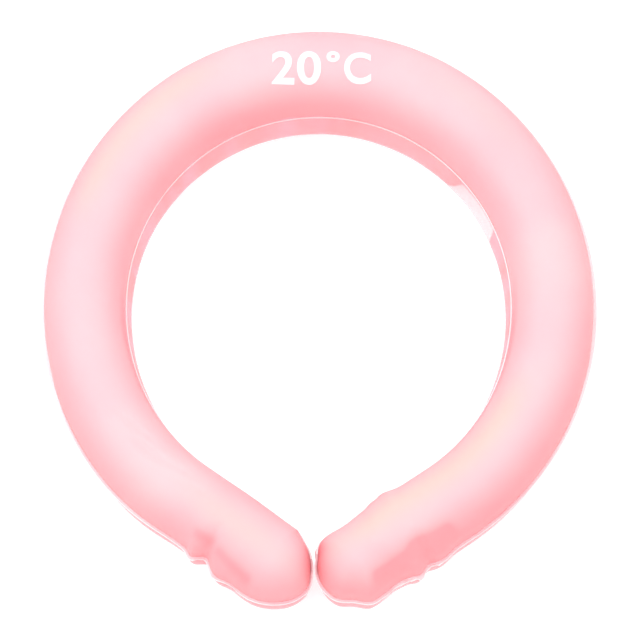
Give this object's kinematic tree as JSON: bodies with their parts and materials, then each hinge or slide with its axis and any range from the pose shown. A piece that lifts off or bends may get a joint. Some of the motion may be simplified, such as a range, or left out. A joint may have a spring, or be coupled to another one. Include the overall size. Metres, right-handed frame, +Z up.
{
  "type": "cooling neck ring",
  "caption": "Open ring of soft translucent film filled with cooling gel, worn round the neck, with blunt ends that nearly meet in front.",
  "frame": {"origin": "middle of the ring's bounding box, on the surface that it lies on", "axes": "+Z up through the ring's opening, +Y towards the nape, +X to the right of the closed back seen from the open ends"},
  "size_m": [0.1802, 0.197, 0.029],
  "materials": {
    "film": "clear soft film with a faint pink tint, satin to glossy",
    "core": "pastel pink waxy filling, smooth and slightly translucent",
    "print": "thin white screen print"
  },
  "bodies": {
    "root": {"upper_film": "film", "lower_film": "film", "cooling_core": "core"}
  },
  "joints": []
}
